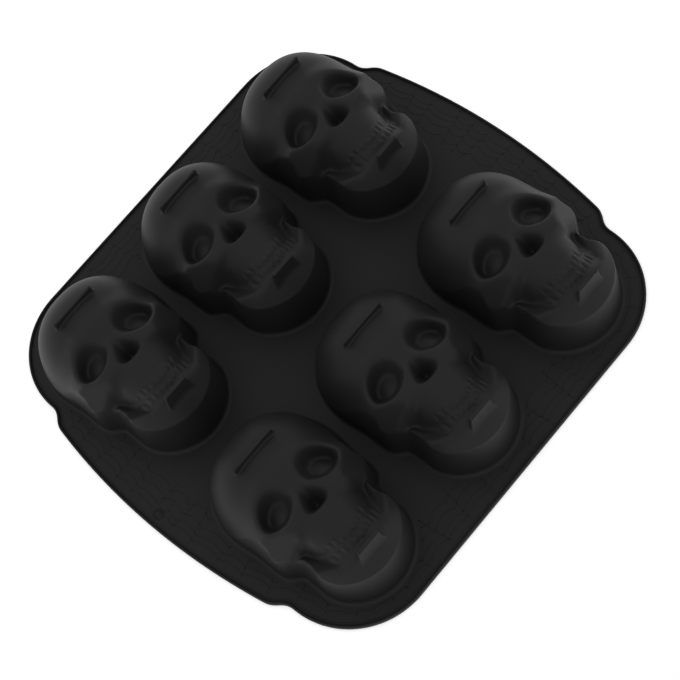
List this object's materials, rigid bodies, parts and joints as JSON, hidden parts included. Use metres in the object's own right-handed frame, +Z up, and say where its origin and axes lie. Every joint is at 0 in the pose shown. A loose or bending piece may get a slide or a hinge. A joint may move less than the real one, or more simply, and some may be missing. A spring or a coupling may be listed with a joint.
{
  "type": "cake mould",
  "caption": "Charcoal silicone cake mould: a thin flat tray with bowed sides, lobed corners and a beaded rim, carrying rows of skull-shaped cups with ribs to stand on when filled.",
  "frame": {"origin": "middle of the tray on the plane of the flange's underside, which is the mould's lowest plane as it lies cups up", "axes": "+Z up out of the flange towards the skulls' faces, +X along a row of cups, +Y from the chins to the crowns"},
  "size_m": [0.29, 0.278, 0.052],
  "materials": {
    "silicone": "satin"
  },
  "bodies": {
    "root": {"flange": "silicone", "rim_bead": "silicone", "gate_mark": "silicone", "skull_cup_1": "silicone", "brow_foot_1": "silicone", "chin_foot_1": "silicone", "skull_cup_2": "silicone", "brow_foot_2": "silicone", "chin_foot_2": "silicone", "skull_cup_3": "silicone", "brow_foot_3": "silicone", "chin_foot_3": "silicone", "skull_cup_4": "silicone", "brow_foot_4": "silicone", "chin_foot_4": "silicone", "skull_cup_5": "silicone", "brow_foot_5": "silicone", "chin_foot_5": "silicone", "skull_cup_6": "silicone", "brow_foot_6": "silicone", "chin_foot_6": "silicone"}
  },
  "joints": []
}
